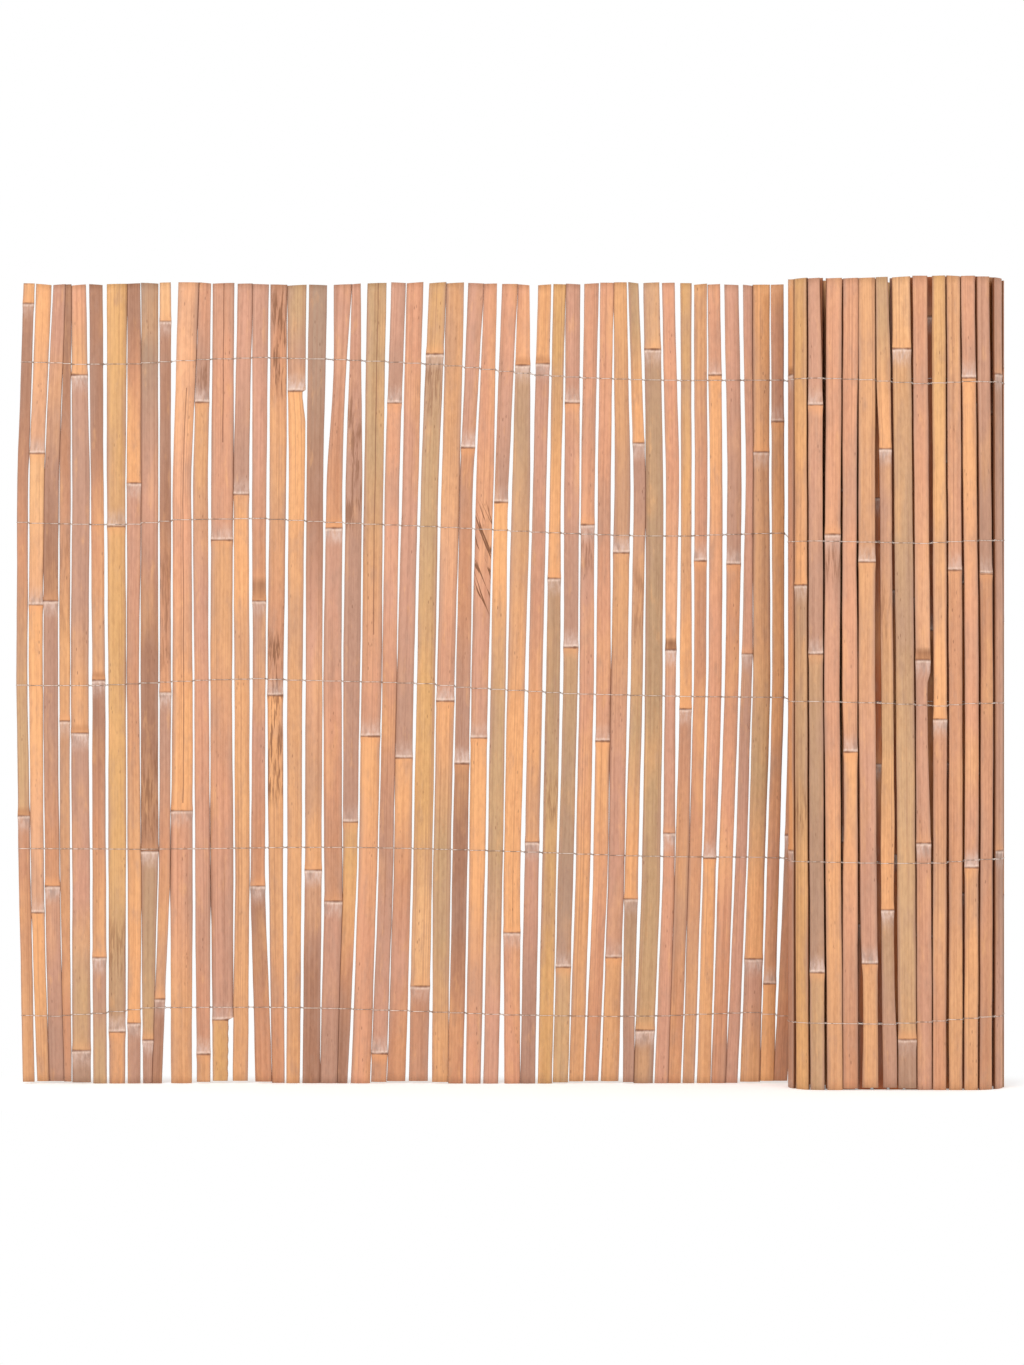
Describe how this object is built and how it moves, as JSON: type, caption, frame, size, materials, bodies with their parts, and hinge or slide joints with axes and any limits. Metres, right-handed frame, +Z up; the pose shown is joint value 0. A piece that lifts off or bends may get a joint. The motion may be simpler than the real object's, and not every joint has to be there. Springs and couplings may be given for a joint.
{
  "type": "bamboo slat fence mat",
  "caption": "Split bamboo slats bound upright side by side with rows of thin wire into a flexible fence mat, standing partly unrolled from a flattened roll.",
  "frame": {"origin": "on the ground under the middle of the standing mat's overall length and depth", "axes": "+Z up along the slats, +X along the mat from its loose end to the roll, -Y towards the front, the side the roll lies on"},
  "size_m": [1.2301, 0.0983, 1],
  "materials": {
    "bamboo_gold": "dry split bamboo, honey coloured, satin skin",
    "bamboo_peach": "dry split bamboo, light peach, satin skin",
    "bamboo_rose": "dry split bamboo, dusty rose brown, satin skin",
    "bamboo_brown": "dry split bamboo, stained brown, satin skin",
    "bamboo_khaki": "dry split bamboo, khaki, satin skin",
    "bamboo_rolled": "dry split bamboo of mixed browns, satin skin",
    "wire": "dull galvanised wire"
  },
  "bodies": {
    "root": {"roll_turn_1": "bamboo_rolled", "roll_turn_2": "bamboo_rolled", "roll_turn_3": "bamboo_rolled", "slat_01": "bamboo_brown", "slat_02": "bamboo_peach", "slat_03": "bamboo_brown", "slat_04": "bamboo_gold", "slat_05": "bamboo_rose", "slat_06": "bamboo_brown", "slat_07": "bamboo_gold", "slat_08": "bamboo_brown", "slat_09": "bamboo_khaki", "slat_10": "bamboo_rose", "slat_11": "bamboo_peach", "slat_12": "bamboo_peach", "slat_13": "bamboo_peach", "slat_14": "bamboo_rose", "slat_15": "bamboo_rose", "slat_16": "bamboo_brown", "slat_17": "bamboo_khaki", "slat_18": "bamboo_brown", "slat_19": "bamboo_rose", "slat_20": "bamboo_brown", "slat_21": "bamboo_gold", "slat_22": "bamboo_rose", "slat_23": "bamboo_rose", "slat_24": "bamboo_gold", "slat_25": "bamboo_gold", "slat_26": "bamboo_rose", "slat_27": "bamboo_peach", "slat_28": "bamboo_rose", "slat_29": "bamboo_brown", "slat_30": "bamboo_peach", "slat_31": "bamboo_gold", "slat_32": "bamboo_khaki", "slat_33": "bamboo_rose", "slat_34": "bamboo_peach", "slat_35": "bamboo_peach", "slat_36": "bamboo_brown", "slat_37": "bamboo_khaki", "slat_38": "bamboo_rose", "slat_39": "bamboo_gold", "slat_40": "bamboo_peach", "slat_41": "bamboo_peach", "slat_42": "bamboo_brown", "slat_43": "bamboo_brown", "slat_44": "bamboo_gold", "slat_45": "bamboo_peach", "slat_46": "bamboo_brown", "wire_row_1": "wire", "wire_row_2": "wire", "wire_row_3": "wire", "wire_row_4": "wire", "wire_row_5": "wire"}
  },
  "joints": []
}
